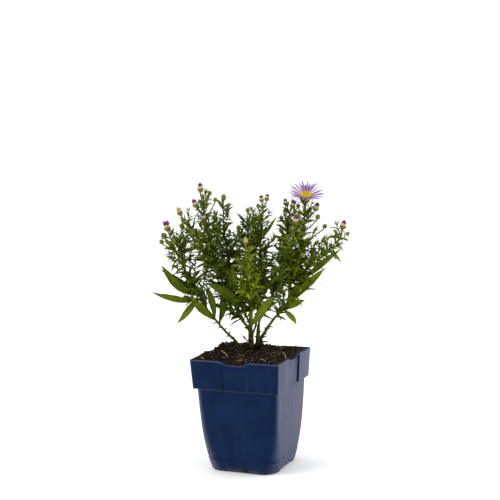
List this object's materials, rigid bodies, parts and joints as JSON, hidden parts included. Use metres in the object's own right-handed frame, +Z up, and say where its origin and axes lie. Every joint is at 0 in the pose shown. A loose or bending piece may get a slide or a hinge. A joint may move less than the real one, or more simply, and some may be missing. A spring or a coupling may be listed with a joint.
{
  "type": "potted aster",
  "caption": "Young bushy aster in a square blue nursery pot, with an open violet daisy bloom, many leafy upright stems and unopened buds.",
  "frame": {"origin": "middle of the pot's base, on the ground", "axes": "+Z up along the pot's axis; the pot's four panelled faces look along +X, -X, +Y and -Y; the pictured side is towards -Y, turned a little to +X"},
  "size_m": [0.2064, 0.1455, 0.3229],
  "materials": {
    "pot_plastic": "satin moulded polypropylene, dusty along the lip",
    "soil": "damp dark peat with crumbs and straws",
    "leaf": "soft green leaf and stem, yellow-green bud cups",
    "ray_petal": "soft lavender petal",
    "disc": "yellow florets",
    "bud_petal": "furled violet petal with a pale foot"
  },
  "bodies": {
    "root": {"pot": "pot_plastic", "potting_soil": "soil", "leafy_stem_left": "leaf", "leafy_stem_centre": "leaf", "leafy_stem_right": "leaf", "leafy_stem_back_left": "leaf", "leafy_stem_back_middle": "leaf", "leafy_stem_back_right": "leaf", "bloom_rays": "ray_petal", "bloom_disc": "disc", "bud_petals_01": "bud_petal", "bud_petals_02": "bud_petal", "bud_petals_03": "bud_petal", "bud_petals_04": "bud_petal", "bud_petals_05": "bud_petal", "bud_petals_06": "bud_petal", "bud_petals_07": "bud_petal", "bud_petals_08": "bud_petal", "bud_petals_09": "bud_petal", "bud_petals_10": "bud_petal", "bud_petals_11": "bud_petal", "bud_petals_12": "bud_petal", "bud_petals_13": "bud_petal"}
  },
  "joints": []
}
